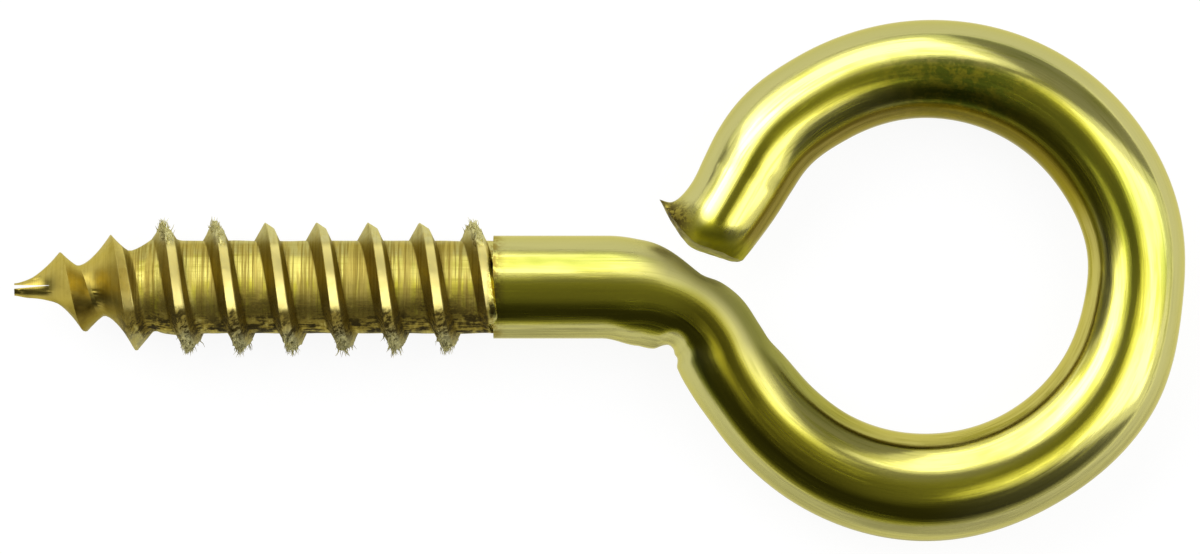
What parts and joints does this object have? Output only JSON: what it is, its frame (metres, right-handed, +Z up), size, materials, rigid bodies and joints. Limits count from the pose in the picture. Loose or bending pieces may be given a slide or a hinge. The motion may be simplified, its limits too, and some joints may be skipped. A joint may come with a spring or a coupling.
{
  "type": "screw eye",
  "caption": "Brass screw eye: one wire with a gimlet point and wood thread at one end, bent at the neck into an open round eye.",
  "frame": {"origin": "centre of the eye, on the plane in which the wire is bent", "axes": "+X from the point along the shank to the far side of the eye, +Y in the plane of the eye towards the side of its cut end, +Z through the eye; the piece lies flat with +Z up"},
  "size_m": [0.0456, 0.0202, 0.005],
  "materials": {
    "brass_wire": "bright drawn brass wire, polished on the eye and shank, with faint drawing lines, olive tarnish in the bends and a dull, dirty thread"
  },
  "bodies": {
    "root": {"screw_eye": "brass_wire"}
  },
  "joints": []
}
